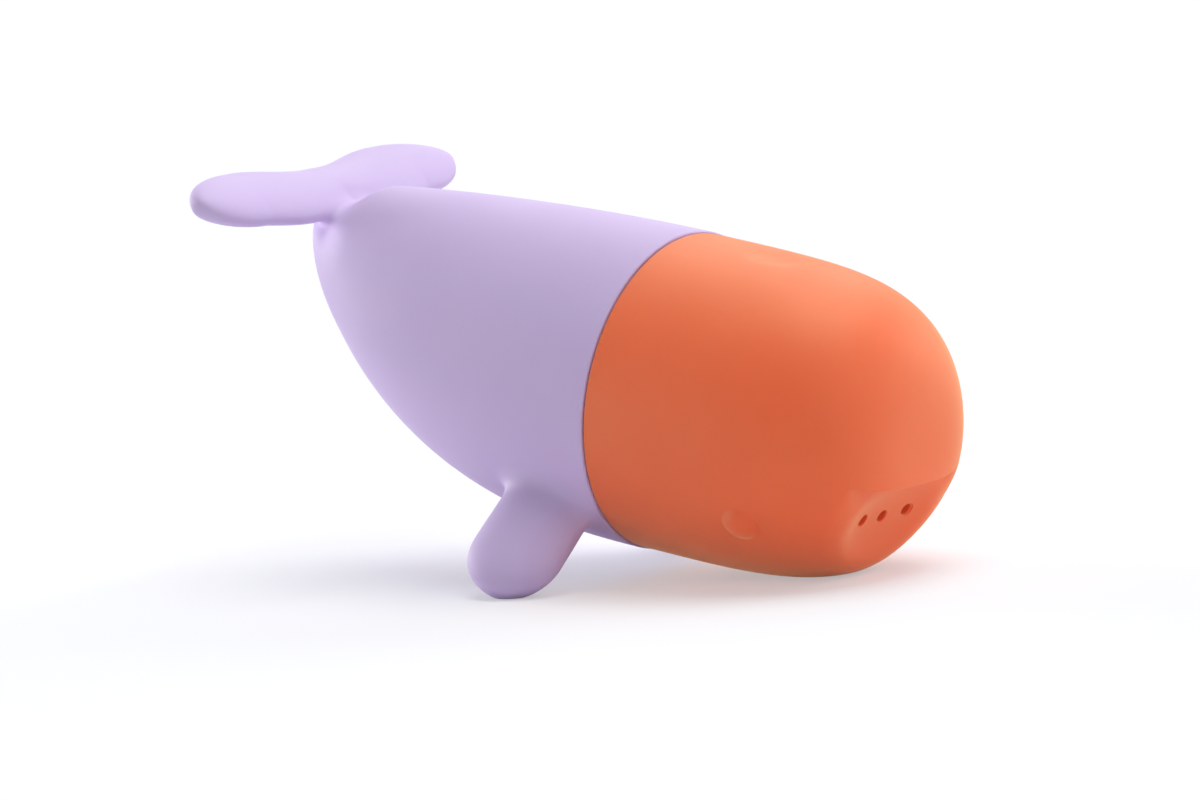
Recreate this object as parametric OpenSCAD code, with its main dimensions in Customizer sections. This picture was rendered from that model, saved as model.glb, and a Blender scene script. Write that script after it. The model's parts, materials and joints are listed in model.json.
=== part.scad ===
// Squeaky bath whale: a soft tail half and a soft head that plug together at the neck, so that the
// toy pulls apart for rinsing. The neck is a rigid spigot in a rigid socket with a rubber ring, and
// the squeaker sits behind the three spout holes in the mouth. Lengths are in millimetres.
// In the whale's own frame X runs forward along the neck's axis, Y to the whale's left and Z up, with
// zero at the middle of the seam. stand() tips it nose-down onto its flippers and chin, and puts
// zero at the middle of the footprint.

/* [Neck] */
// Radius of the tail half at the seam
neck_r = 28; // [25:0.5:32]
// How far the tail half's rim stands proud of the head all round
rim_step = 0.25; // [0.1:0.05:0.5]
// Open line between the two soft rims
seam_gap = 0.3; // [0.2:0.05:0.6]
// Rounding on both rims' outer edges
rim_bevel = 0.35; // [0.2:0.05:0.6]
// Soft wall left outside both rings
seat_wall = 2.4; // [2:0.1:3]
// Glue line between a ring and the soft half that holds it
bond_gap = 0.1; // [0.05:0.05:0.2]

/* [Socket ring in the tail half] */
// Length of the socket ring
socket_len = 13; // [11.5:0.5:16]
// Wall of the socket ring
socket_wall = 2.6; // [2:0.1:3.5]
// Bevel that guides the spigot in
lead_in = 0.8; // [0.4:0.1:1.5]
// Gap between the two rings' facing ends when the head is home
face_gap = 0.05; // [0.02:0.01:0.1]

/* [Spigot ring in the head] */
// Radial running gap between spigot and socket
spigot_clearance = 0.1; // [0.05:0.01:0.1]
// Length of spigot that enters the socket
spigot_len = 10.5; // [9:0.5:11]
// Wall of the spigot
spigot_wall = 2.6; // [2.2:0.1:3.2]
// Length of the flange bonded into the head
flange_len = 5; // [3:0.5:8]
// Bevel on the spigot's leading end
spigot_bevel = 0.8; // [0.3:0.1:1.2]

/* [Seal] */
// Axial width of the sealing ring
seal_w = 2.2; // [1.6:0.1:2.8]
// Radial gap between the seal and each wall it slides on
seal_clearance = 0.03; // [0.01:0.01:0.05]
// Slack beside the seal in its groove, on each side
seal_slack = 0.1; // [0.05:0.05:0.2]
// Depth of the seal's groove in the spigot
groove_depth = 1.4; // [1:0.1:1.6]
// Distance from the flange to the middle of the groove
groove_back = 6; // [4:0.5:6.5]

/* [Tail half] */
// Length from the seam to the tail's end
tail_len = 81.6; // [70:0.1:95]
// Thickness of the tail half's soft wall
tail_wall = 2.8; // [2.2:0.1:3.4]
// Height of the tail's end above the neck's axis
tail_end_z = 17.4; // [10:0.1:20]
// How far the back has come down by the tail's end
back_fall = 5.4; // [5:0.1:8]
// Depth of the dip in the back just in front of the flukes
back_dip = 3.6; // [0:0.1:5]

/* [Flukes] */
// Half of the span of the flukes
fluke_half_span = 35.1; // [28:0.1:42]
// Chord in front of the fluke's spine at the middle
fluke_front = 4.8; // [4:0.1:7]
// Extra chord in front of the spine where the tips start to round off
fluke_front_grow = 0.5; // [0:0.1:1.5]
// Swell of the front edge halfway out to there
fluke_front_swell = 1.7; // [0:0.1:2.5]
// Chord behind the spine at the middle, in the notch
fluke_notch = 6.7; // [5:0.1:8]
// Extra chord behind the spine at each lobe
fluke_lobe = 2.6; // [0.5:0.1:4]
// Chord lost again behind the spine from a lobe to its tip
fluke_back_taper = 0.7; // [0:0.1:2]
// Half thickness of the flukes
fluke_half_t = 2.8; // [2.6:0.1:4.5]
// Angle by which the flukes' front edge is tipped down
fluke_tilt = 22; // [15:1:40]
// Rise of the tips above the middle
fluke_rise = 0.7; // [0:0.1:4]
// Spine of the flukes ahead of the tail's end
fluke_setback = 1.8; // [0:0.1:4]
// Spine of the flukes above the tail's end
fluke_lift = 3.4; // [2:0.1:8]

/* [Flippers] */
// Half of a flipper's width where it leaves the body
flipper_root_half_w = 8.7; // [7:0.1:10]
// Half of a flipper's width at the start of its round tip
flipper_tip_half_w = 9.2; // [7:0.1:11]
// Half thickness of a flipper
flipper_half_t = 4.8; // [3.8:0.1:5.5]
// Length of a flipper from inside the body to the start of its round tip
flipper_len = 15.6; // [13:0.1:20]
// Length of the round tip
flipper_tip_len = 8.8; // [6:0.1:11]
// Angle of a flipper below the horizontal
flipper_drop = 43; // [35:1:55]
// Gap between a flipper's front edge and the seam
flipper_setback = 2; // [1:0.1:6]
// Depth of a flipper's root inside the body, along the flipper
flipper_bury = 4.3; // [3.5:0.1:6]

/* [Head] */
// Length from the seam to the nose
head_len = 51.3; // [46:0.1:60]
// Thickness of the head's soft wall
head_wall = 3; // [2.6:0.1:3.6]
// Extra wall at the nose
nose_extra = 0.2; // [0:0.1:1]
// How far the head's middle line droops by the nose
nose_fall = 1.3; // [0:0.1:2]
// Radius of an eye bump
eye_r = 3.2; // [2:0.1:4]
// Height of an eye bump
eye_h = 1; // [0.5:0.1:1.5]
// Distance from the seam to the eyes
eye_x = 30.6; // [24:0.1:34]
// Angle of the eyes below the horizontal
eye_drop = 31.5; // [20:0.5:40]
// Radius of the blowhole dimple
blowhole_r = 5; // [3.5:0.1:6]
// Depth of the blowhole dimple
blowhole_depth = 1; // [0.5:0.1:1.4]
// Distance from the seam to the blowhole
blowhole_x = 19; // [14:0.5:24]

/* [Mouth] */
// Distance from the nose back to the spout holes
mouth_back = 7; // [6:0.1:9]
// Distance from the neck's axis down to the spout holes
mouth_drop = 13; // [11:0.1:15]
// Angle by which the mouth's flat faces downwards
mouth_tilt = 22; // [18:1:32]
// Height of the lip's underside above the spout holes, along the flat
lip_rise = 8.3; // [6.5:0.1:9]
// Radius of the mouth's gently bowed flat
mouth_face_r = 58; // [40:1:80]
// Highest line of the flat, below the spout holes
mouth_face_middle = 6.5; // [2:0.5:8]
// Depth of the scoop in the flat
scoop_depth = 2.8; // [1.6:0.1:3.2]
// Half of the scoop's width
scoop_half_w = 12.5; // [10.5:0.1:13.5]
// Half of the scoop's height
scoop_half_h = 8.2; // [6.5:0.1:9]
// Middle of the scoop, below the spout holes
scoop_middle = 0.4; // [0:0.1:1]
// Wall behind the scoop
mouth_wall = 3; // [2.4:0.1:3.6]
// Radius of a spout hole
spout_r = 1.15; // [0.8:0.05:1.4]
// Distance between neighbouring spout holes
spout_pitch = 6.3; // [5:0.1:6.5]
// How far the middle hole sits below its neighbours
spout_sag = 0.5; // [0:0.1:1]

/* [Squeaker] */
// Outer radius of the squeaker's barrel
barrel_r = 8.5; // [8.3:0.1:9.5]
// Length of the barrel
barrel_len = 12; // [11:0.5:15]
// Wall of the barrel
barrel_wall = 1.5; // [1:0.1:2]
// Gap between the barrel and its seat in the head
barrel_clearance = 0.05; // [0.02:0.01:0.1]
// Wall of the soft boss round the barrel
boss_wall = 2; // [1.5:0.1:2.5]
// Depth of the air space between the barrel and the spout holes
plenum_len = 3; // [2:0.5:4]
// Length of barrel held by the boss
seat_len = 7; // [5:0.5:9]
// Thickness of the barrel's end wall
barrel_end = 1.2; // [0.8:0.1:1.6]
// Bore of the throat that holds the reed unit
throat_r = 3.2; // [3:0.1:3.6]
// Wall of the throat
throat_wall = 1.4; // [1:0.1:1.8]
// Gap between the reed unit and the throat
throat_clearance = 0.05; // [0.02:0.01:0.1]
// Radius of the outlet in the end wall
outlet_r = 2.4; // [1.8:0.1:2.7]
// Length of the reed unit's bed
bed_len = 9; // [8.5:0.1:9.4]
// Thickness of the cap
cap_t = 1.2; // [0.8:0.1:2]
// Length of the cap's plug inside the barrel
cap_plug = 2; // [1.5:0.1:2.5]
// Radius of a hole in the cap's grille
grille_r = 0.9; // [0.6:0.05:1.1]
// Number of holes in the cap's grille
grille_n = 6; // [5:1:8]

/* [Reed] */
// Thickness of the reed's tongue
reed_t = 0.25; // [0.2:0.01:0.35]
// Width of the reed
reed_w = 4.2; // [3.6:0.1:4.6]
// Radius of the bead at the reed's root
bead_r = 0.5; // [0.4:0.05:0.6]
// Running gap round the bead
bead_clearance = 0.06; // [0.03:0.01:0.1]
// Gap between the tongue and its bed
reed_gap = 0.05; // [0.03:0.01:0.1]

/* [Hidden] */
$fn = 64;

// Number of points round each soft outline
around = 48;
// Number of steps along each soft outline
along = 20;
// Number of points round each fin
fin_around = 20;
// Number of steps along a fin's straight part
fin_along = 6;
// The last outline of a rounded end is drawn just short of its tip
tip_share = 0.9999;
// Cuts run past what they cut by this much
overrun = 1;
// A block as large as this reaches past the whole toy
beyond = 3*(tail_len + head_len);
// Depth of the small flats that the flippers and chin rest on
rest_cut = 0.4;

// Curves of the head: how square the top, the belly and the sides are along and across
head_top_curve = [5.4, 2.7];
head_chin_curve = [3.4, 3.1];
head_side_curve = [3.6, 3.1];
// Curves of the tail half: the belly's sweep, the sides' taper and the round end of the back
belly_curve = [2.6, 1.4];
side_curve = [1.8, 1.76];
back_end_curve = [20, 1.75];
// Inside length lost at the tail's end, in walls, because the belly's wall slopes there
tail_end_walls_share = 1.6;
// Shares of the tail's length where the dip in the back starts and where it is full
dip_start_share = 0.8;
dip_full_share = 0.92;
// Shares of the half span where the flukes' notch ends, where the lobes are full, and where the tips
// start to round off
fluke_notch_share = 0.04;
fluke_full_share = 0.53;
fluke_round_share = 0.62;
// How quickly a fin's thickness follows its rounded outline
fluke_tip_round = 0.44;
flipper_tip_round = 0.7;
// Room for the reed above its tongue, and clear ends of the wedge and tongue
swing_room = 0.45;
wedge_len = 3.4;
bead_back = 1.4;
foot_len = 0.7;
tongue_short = 0.4;
channel_w = 2.4;
channel_depth = 1.4;
channel_len = 6.4;
// Wall of the cap's plug, and the ring on which the grille's holes lie
cap_plug_wall = 1.1;
grille_ring_share = 0.5;

head_r = neck_r - rim_step;
socket_outer_r = neck_r - seat_wall - bond_gap;
socket_r = socket_outer_r - socket_wall;
spigot_r = socket_r - spigot_clearance;
spigot_bore_r = spigot_r - spigot_wall;
flange_seat_r = head_r - seat_wall;
flange_r = flange_seat_r - bond_gap;
groove_r = spigot_r - groove_depth;
seal_inner_r = groove_r + seal_clearance;
seal_outer_r = socket_r - seal_clearance;
half_groove = seal_w/2 + seal_slack;
cavity_len = head_len - head_wall - nose_extra;
barrel_bore_r = barrel_r - barrel_wall;
barrel_seat_r = barrel_r + barrel_clearance;
plenum_r = spout_pitch + spout_r + barrel_clearance;
throat_len = bed_len + throat_clearance;
bed_r = throat_r - throat_clearance;
bead_z = bed_len - bead_back;
bed_face = reed_t/2 + reed_gap;
socket_r_bead = bead_r + bead_clearance;
cap_r = barrel_bore_r - barrel_clearance;

// Superellipse share at t along an axis, with a curve of two exponents
function bulge(t, curve) = pow(1 - pow(t, curve[0]), 1/curve[1]);
// Steps from 0 to 1 that gather towards the rounded end
function steps(n) = [for (i = [0:n]) i == n ? tip_share : sin(90*i/n)];
// One closed outline across the X axis, with its own height above and below its middle
function across(x, half_w, up, down, z) = [
    for (i = [0:around - 1])
        let (a = 360*i/around, s = sin(a))
        [x, half_w*cos(a), z + (s > 0 ? up : down)*s]
];
function unit(v) = v/norm(v);
// A share held between 0 and 1, and the same with a soft start and end
function clamped(share) = min(1, max(0, share));
function eased(share) = share*share*(3 - 2*share);

// The head's outer skin at t of its length and angle a round the neck's axis
function head_sizes(t) = [
    head_r*bulge(t, head_side_curve),
    head_r*bulge(t, head_top_curve),
    head_r*bulge(t, head_chin_curve),
    -nose_fall*t*t
];
function head_outline(x, t, shrink = 0) =
    let (h = head_sizes(t))
    across(x, h[0] - shrink, h[1] - shrink, h[2] - shrink, h[3]);
function head_point(x, a) =
    let (h = head_sizes(x/head_len), s = sin(a))
    [x, h[0]*cos(a), h[3] + (s > 0 ? h[1] : h[2])*s];
// Outward direction of the head's skin, from two short steps along and round it
skin_step = 0.01;
skin_step_angle = 0.01;
function head_normal(x, a) =
    let (p = head_point(x, a))
    unit(cross(head_point(x, a + skin_step_angle) - p, head_point(x + skin_step, a) - p));
head_outlines = concat(
    [head_outline(seam_gap/2, 0, rim_bevel)],
    [for (t = steps(along)) head_outline(seam_gap/2 + rim_bevel + t*(head_len - seam_gap/2 - rim_bevel), t)]
);

// The tail half's skin, or the skin of its hollow when inset is a wall's thickness
function tail_outline(s, inset, len) =
    let (
        r = neck_r - inset,
        side = r*bulge(s, side_curve),
        dip_share = clamped((s - dip_start_share)/(dip_full_share - dip_start_share)),
        top = r - back_fall*s*s - back_dip*eased(dip_share),
        back = tail_end_z + (top - tail_end_z)*bulge(s, back_end_curve),
        belly = tail_end_z - (r + tail_end_z)*bulge(s, belly_curve),
        half_h = (back - belly)/2
    )
    across(-s*len, side, half_h, half_h, back - half_h);
function reversed(list) = [for (i = [len(list) - 1:-1:0]) list[i]];
function moved_back(outline, d) = [for (p = outline) [p.x - d, p.y, p.z]];
tail_rim_back = seam_gap/2 + rim_bevel;
tail_outlines = reversed(concat(
    [across(-seam_gap/2, neck_r - rim_bevel, neck_r - rim_bevel, neck_r - rim_bevel, 0)],
    [for (s = steps(along)) moved_back(tail_outline(s, 0, tail_len - tail_rim_back), tail_rim_back)]
));
tail_hollow_outlines = reversed([
    for (s = steps(along)) tail_outline(s, tail_wall, tail_len - tail_end_walls_share*tail_wall)
]);

// The flukes: one blade across the tail, as outlines from the left tip to the right tip
fluke_chord = [cos(fluke_tilt), 0, -sin(fluke_tilt)];
fluke_up = [sin(fluke_tilt), 0, cos(fluke_tilt)];
fluke_spine = [fluke_setback - tail_len, 0, tail_end_z + fluke_lift];
function fluke_outline(u) =
    let (
        v = abs(u),
        past = max(0, (v - fluke_round_share)/(1 - fluke_round_share)),
        round_share = sqrt(1 - past*past),
        out_share = v/fluke_round_share,
        front = fluke_front + fluke_front_grow*out_share + fluke_front_swell*sin(180*clamped(out_share)),
        lobe_share = clamped((v - fluke_notch_share)/(fluke_full_share - fluke_notch_share)),
        tip_side_share = clamped((v - fluke_full_share)/(1 - fluke_full_share)),
        back = fluke_notch + fluke_lobe*pow(sin(90*lobe_share), 2) - fluke_back_taper*tip_side_share,
        half_chord = round_share*(front + back)/2,
        half_t = fluke_half_t*pow(round_share, fluke_tip_round),
        middle = fluke_spine + fluke_chord*(front - back)/2 + [0, u*fluke_half_span, fluke_rise*v*v]
    )
    [
        for (i = [0:fin_around - 1])
            let (a = 360*i/fin_around)
            middle + fluke_chord*half_chord*cos(a) + fluke_up*half_t*sin(a)
    ];
fluke_outlines = [
    for (i = [0:2*along]) fluke_outline(tip_share*sin(90 - 90*i/along))
];

// The left flipper, as outlines from its root inside the body to its round tip
flipper_dir = [0, cos(flipper_drop), -sin(flipper_drop)];
flipper_across = cross(flipper_dir, [1, 0, 0]);
flipper_root_r = neck_r - flipper_bury;
flipper_root = [
    -flipper_setback - max(flipper_root_half_w, flipper_tip_half_w),
    flipper_root_r*cos(flipper_drop),
    -flipper_root_r*sin(flipper_drop)
];
function flipper_outline(d, half_w, half_t) = [
    for (i = [0:fin_around - 1])
        let (a = 360*i/fin_around)
        flipper_root + flipper_dir*d + [half_w*cos(a), 0, 0] + flipper_across*half_t*sin(a)
];
flipper_outlines = concat(
    [
        for (i = [0:fin_along])
            let (k = i/fin_along, grow = flipper_tip_half_w - flipper_root_half_w)
            flipper_outline(k*flipper_len, flipper_root_half_w + grow*sin(90*k), flipper_half_t)
    ],
    [
        for (t = steps(fin_along))
            if (t > 0)
                let (k = sqrt(1 - t*t))
                flipper_outline(
                    flipper_len + t*flipper_tip_len,
                    flipper_tip_half_w*k,
                    flipper_half_t*pow(k, flipper_tip_round)
                )
    ]
);

// Resting pose: the nose-down angle at which flippers and chin touch the floor together
function height(p, pitch) = p.z*cos(pitch) - p.x*sin(pitch);
function reach(p, pitch) = p.x*cos(pitch) + p.z*sin(pitch);
function flat_list(lists) = [for (l = lists, p = l) p];
head_points = flat_list(head_outlines);
tail_points = flat_list(concat(tail_outlines, fluke_outlines));
flipper_points = flat_list(flipper_outlines);
function lowest(points, pitch) = min([for (p = points) height(p, pitch)]);
function settle(low, high, turns) =
    let (mid = (low + high)/2)
    turns == 0 ? mid :
    lowest(head_points, mid) > lowest(flipper_points, mid) ? settle(mid, high, turns - 1) :
    settle(low, mid, turns - 1);
steepest_pitch = 25;
settle_turns = 24;
rest_pitch = settle(0, steepest_pitch, settle_turns);
floor_z = lowest(flipper_points, rest_pitch) + rest_cut;
rear_x = min([for (p = tail_points) reach(p, rest_pitch)]);
front_x = max([for (p = head_points) reach(p, rest_pitch)]);
middle_x = (rear_x + front_x)/2;

// Turns the whale's frame into the standing frame
module stand() {
    translate([-middle_x, 0, -floor_z])
        rotate([0, rest_pitch, 0])
            children();
}

// Everything below the floor
module floor_block() {
    translate([-beyond/2, -beyond/2, -beyond])
        cube([beyond, beyond, beyond]);
}

// A closed skin through outlines with the same number of points
module loft(outlines) {
    n = len(outlines);
    m = len(outlines[0]);
    points = flat_list(outlines);
    sides = [
        for (j = [0:n - 2], i = [0:m - 1])
            let (here = j*m + i, next = j*m + (i + 1)%m)
            each [[here, next + m, next], [here, here + m, next + m]]
    ];
    first_end = [for (i = [0:m - 1]) i];
    last_end = [for (i = [m - 1:-1:0]) (n - 1)*m + i];
    polyhedron(points, concat(sides, [first_end, last_end]));
}

// A shape turned about the neck's axis from points of [radius, distance along the axis]
module turned(points) {
    rotate([0, 90, 0])
        rotate_extrude()
            polygon(points);
}

// A cylinder along the neck's axis between two places
module neck_cylinder(r, from, to) {
    translate([from, 0, 0])
        rotate([0, 90, 0])
            cylinder(r = r, h = to - from);
}

// Frame of the mouth: zero at the middle spout hole, Z outwards through it, X down along the flat
module at_mouth() {
    translate([head_len - mouth_back, 0, -mouth_drop])
        rotate([0, 90 + mouth_tilt, 0])
            children();
}

// Frame of the squeaker: zero at the barrel's outlet end, Z into the head, X down
module at_squeaker() {
    at_mouth()
        translate([0, 0, -mouth_wall - plenum_len])
            rotate([180, 0, 0])
                children();
}

// Body shell: the soft tail half with its flukes and flippers in one moulding
module flippers() {
    loft(flipper_outlines);
    mirror([0, 1, 0])
        loft(flipper_outlines);
}
module tail_hollow() {
    loft(tail_hollow_outlines);
    neck_cylinder(socket_outer_r + bond_gap, -socket_len - 2*face_gap, overrun);
}
module body_shell() {
    color([0.79, 0.71, 0.88])
        difference() {
            stand()
                difference() {
                    union() {
                        loft(tail_outlines);
                        loft(fluke_outlines);
                        flippers();
                    }
                    tail_hollow();
                }
            floor_block();
        }
}

// Socket ring: the rigid ring bonded into the tail half's neck
module socket_ring() {
    back = -socket_len - face_gap;
    color([0.46, 0.31, 0.6])
        stand()
            turned([
                [socket_r, back],
                [socket_r, -lead_in - face_gap],
                [socket_r + lead_in, -face_gap],
                [socket_outer_r, -face_gap],
                [socket_outer_r, back]
            ]);
}

// Neck seal: a rubber ring with rounded edges in the spigot's groove
module neck_seal() {
    thick = seal_outer_r - seal_inner_r;
    flat = seal_w - thick;
    color([0.25, 0.25, 0.28])
        stand()
            translate([-groove_back, 0, 0])
                rotate([0, 90, 0])
                    rotate_extrude()
                        translate([(seal_inner_r + seal_outer_r)/2, 0]) {
                            square([thick, flat], center = true);
                            translate([0, flat/2])
                                circle(r = thick/2);
                            translate([0, -flat/2])
                                circle(r = thick/2);
                        }
}

// Spigot ring: the rigid ring bonded into the head, with the spigot that plugs into the socket
module spigot_ring() {
    color([0.93, 0.9, 0.86])
        stand()
            turned([
                [spigot_bore_r, flange_len],
                [spigot_bore_r, -spigot_len],
                [spigot_r - spigot_bevel, -spigot_len],
                [spigot_r, spigot_bevel - spigot_len],
                [spigot_r, -groove_back - half_groove],
                [groove_r, -groove_back - half_groove],
                [groove_r, half_groove - groove_back],
                [spigot_r, half_groove - groove_back],
                [spigot_r, 0],
                [flange_r, 0],
                [flange_r, flange_len]
            ]);
}

// Head shell: the soft head with its mouth, eyes, blowhole and the boss for the squeaker
module eye() {
    ball_r = (eye_r*eye_r + eye_h*eye_h)/(2*eye_h);
    translate(head_point(eye_x, -eye_drop) - head_normal(eye_x, -eye_drop)*(ball_r - eye_h))
        sphere(r = ball_r);
}
module eyes() {
    eye();
    mirror([0, 1, 0])
        eye();
}
module blowhole() {
    ball_r = (blowhole_r*blowhole_r + blowhole_depth*blowhole_depth)/(2*blowhole_depth);
    translate(head_point(blowhole_x, 90) + head_normal(blowhole_x, 90)*(ball_r - blowhole_depth))
        sphere(r = ball_r);
}
module mouth_cut() {
    at_mouth() {
        difference() {
            translate([-lip_rise, -beyond/2, -mouth_wall])
                cube([beyond, beyond, beyond]);
            translate([mouth_face_middle, 0, scoop_depth - mouth_face_r])
                rotate([90, 0, 0])
                    cylinder(r = mouth_face_r, h = 2*beyond, center = true);
        }
        translate([scoop_middle, 0, scoop_depth])
            resize([2*scoop_half_h, 2*scoop_half_w, 2*scoop_depth])
                sphere(r = scoop_half_h, $fn = 32);
    }
}
module head_hollow() {
    difference() {
        turned(concat(
            [[0, -overrun], [head_r - head_wall, -overrun]],
            [for (t = steps(along)) [(head_r - head_wall)*bulge(t, head_side_curve), t*cavity_len]],
            [[0, tip_share*cavity_len]]
        ));
        at_mouth() {
            translate([-beyond/2, -beyond/2, -mouth_wall])
                cube([beyond, beyond, beyond]);
            translate([0, 0, -mouth_wall - plenum_len - seat_len])
                cylinder(r = barrel_seat_r + boss_wall, h = plenum_len + seat_len + overrun);
        }
    }
    neck_cylinder(flange_seat_r, -overrun, flange_len + face_gap);
}
module squeaker_seat() {
    at_squeaker() {
        translate([0, 0, -plenum_len])
            cylinder(r = plenum_r, h = plenum_len + seat_len/2);
        cylinder(r = barrel_seat_r, h = seat_len + overrun);
    }
}
module spouts() {
    at_mouth()
        for (side = [-1:1])
            translate([side == 0 ? spout_sag : 0, side*spout_pitch, -mouth_wall - overrun])
                cylinder(r = spout_r, h = mouth_wall + scoop_depth + 2*overrun);
}
module head_shell() {
    color([0.93, 0.55, 0.38])
        difference() {
            stand()
                difference() {
                    union() {
                        loft(head_outlines);
                        eyes();
                    }
                    head_hollow();
                    mouth_cut();
                    blowhole();
                    squeaker_seat();
                    spouts();
                }
            floor_block();
        }
}

// Squeaker barrel: a cup with an inner throat, pushed into the head's boss
module squeaker_barrel() {
    color([0.95, 0.94, 0.9])
        stand()
            at_squeaker()
                difference() {
                    cylinder(r = barrel_r, h = barrel_len);
                    difference() {
                        translate([0, 0, barrel_end])
                            cylinder(r = barrel_bore_r, h = barrel_len);
                        cylinder(r = throat_r + throat_wall, h = barrel_end + throat_len);
                    }
                    translate([0, 0, barrel_end])
                        cylinder(r = throat_r, h = barrel_len);
                    translate([0, 0, -overrun])
                        cylinder(r = outlet_r, h = barrel_end + 2*overrun);
                }
}

// Frame of the reed unit: zero where it rests on the barrel's end wall
module at_reed() {
    at_squeaker()
        translate([0, 0, barrel_end])
            children();
}
module bead_cylinder(r, w) {
    translate([0, 0, bead_z])
        rotate([90, 0, 0])
            cylinder(r = r, h = w, center = true);
}

// Reed bed: the half plug that the reed lies on, with its air channel
module reed_bed() {
    color([0.85, 0.85, 0.82])
        stand()
            at_reed()
                difference() {
                    cylinder(r = bed_r, h = bed_len);
                    translate([bed_face - 2*bed_r, -bed_r, -overrun])
                        cube([2*bed_r, 2*bed_r, bed_len + 2*overrun]);
                    translate([bed_face - overrun, -channel_w/2, -overrun])
                        cube([channel_depth + overrun, channel_w, channel_len + overrun]);
                    bead_cylinder(socket_r_bead, 2*throat_r);
                }
}

// Reed wedge: the half plug that traps the reed's bead against the bed
module reed_wedge() {
    color([0.8, 0.8, 0.76])
        stand()
            at_reed()
                difference() {
                    translate([0, 0, bed_len - wedge_len])
                        cylinder(r = bed_r, h = wedge_len);
                    translate([bed_face, -bed_r, bed_len - wedge_len - overrun])
                        cube([bed_r, 2*bed_r, wedge_len + 2*overrun]);
                    translate([-swing_room, -bed_r, bed_len - wedge_len - overrun])
                        cube([swing_room + bed_r, 2*bed_r, wedge_len - foot_len + overrun]);
                    bead_cylinder(socket_r_bead, 2*throat_r);
                }
}

// Squeaker reed: a thin tongue that flutters on the bead at its root
module squeaker_reed() {
    color([0.75, 0.2, 0.2])
        stand()
            at_reed() {
                translate([-reed_t/2, -reed_w/2, tongue_short])
                    cube([reed_t, reed_w, bead_z - tongue_short]);
                bead_cylinder(bead_r, reed_w);
            }
}

// Squeaker cap: the grille that closes the barrel's inner end
module squeaker_cap() {
    color([0.9, 0.89, 0.85])
        stand()
            at_squeaker()
                difference() {
                    union() {
                        translate([0, 0, barrel_len])
                            cylinder(r = barrel_r, h = cap_t);
                        translate([0, 0, barrel_len - cap_plug])
                            cylinder(r = cap_r, h = cap_plug + cap_t/2);
                    }
                    translate([0, 0, barrel_len - cap_plug - overrun])
                        cylinder(r = cap_r - cap_plug_wall, h = cap_plug + overrun);
                    for (i = [0:grille_n - 1])
                        rotate([0, 0, 360*i/grille_n])
                            translate([grille_ring_share*barrel_r, 0, barrel_len - overrun])
                                cylinder(r = grille_r, h = cap_t + 2*overrun);
                }
}

body_shell();
socket_ring();
neck_seal();
spigot_ring();
head_shell();
squeaker_barrel();
reed_bed();
reed_wedge();
squeaker_reed();
squeaker_cap();
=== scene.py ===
import json
import math

import bmesh
import bpy
from mathutils import Matrix, Vector
from mathutils.bvhtree import BVHTree

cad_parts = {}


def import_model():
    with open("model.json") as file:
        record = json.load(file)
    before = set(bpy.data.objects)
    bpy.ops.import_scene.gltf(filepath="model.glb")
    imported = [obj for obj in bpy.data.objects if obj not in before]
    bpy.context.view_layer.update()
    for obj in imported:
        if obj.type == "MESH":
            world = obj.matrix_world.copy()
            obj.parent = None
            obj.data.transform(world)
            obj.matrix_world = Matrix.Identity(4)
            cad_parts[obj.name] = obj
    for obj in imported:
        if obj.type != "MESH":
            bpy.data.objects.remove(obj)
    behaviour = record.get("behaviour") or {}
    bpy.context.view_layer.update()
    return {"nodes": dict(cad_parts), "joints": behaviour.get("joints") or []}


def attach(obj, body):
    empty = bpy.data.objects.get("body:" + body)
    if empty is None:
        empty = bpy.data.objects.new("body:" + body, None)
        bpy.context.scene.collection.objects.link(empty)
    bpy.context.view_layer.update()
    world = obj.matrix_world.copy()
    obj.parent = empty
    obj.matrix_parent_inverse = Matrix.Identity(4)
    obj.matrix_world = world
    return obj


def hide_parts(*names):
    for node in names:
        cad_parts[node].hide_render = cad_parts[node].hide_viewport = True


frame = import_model()

# Lengths below are in metres, written in millimetres. Names shared with the construction have its values,
# but for the eyes' height. Rounds, fillets, flares and fineness are this script's own
MM = 0.001

# Neck
neck_r = 28*MM
rim_step = 0.25*MM
seam_gap = 0.3*MM
rim_round = 0.35*MM
seat_wall = 2.4*MM
bond_gap = 0.1*MM
face_gap = 0.05*MM
head_r = neck_r - rim_step
rim_back = seam_gap/2 + rim_round

# Rings and seal in the neck
socket_len = 13*MM
socket_wall = 2.6*MM
lead_in = 0.8*MM
spigot_clearance = 0.1*MM
spigot_len = 10.5*MM
spigot_wall = 2.6*MM
spigot_bevel = 0.8*MM
flange_len = 5*MM
seal_w = 2.2*MM
seal_clearance = 0.03*MM
seal_slack = 0.1*MM
groove_depth = 1.4*MM
groove_back = 6*MM
socket_outer_r = neck_r - seat_wall - bond_gap
socket_r = socket_outer_r - socket_wall
spigot_r = socket_r - spigot_clearance
spigot_bore_r = spigot_r - spigot_wall
flange_seat_r = head_r - seat_wall
flange_r = flange_seat_r - bond_gap
groove_r = spigot_r - groove_depth

# Tail half
tail_len = 81.6*MM
tail_wall = 2.8*MM
tail_end_z = 17.4*MM
back_fall = 5.4*MM
back_dip = 3.6*MM
belly_curve = (2.6, 1.4)
side_curve = (1.8, 1.76)
back_end_curve = (20, 1.75)
tail_end_walls = 1.6
back_dip_from = 0.8
back_dip_to = 0.92

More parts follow.
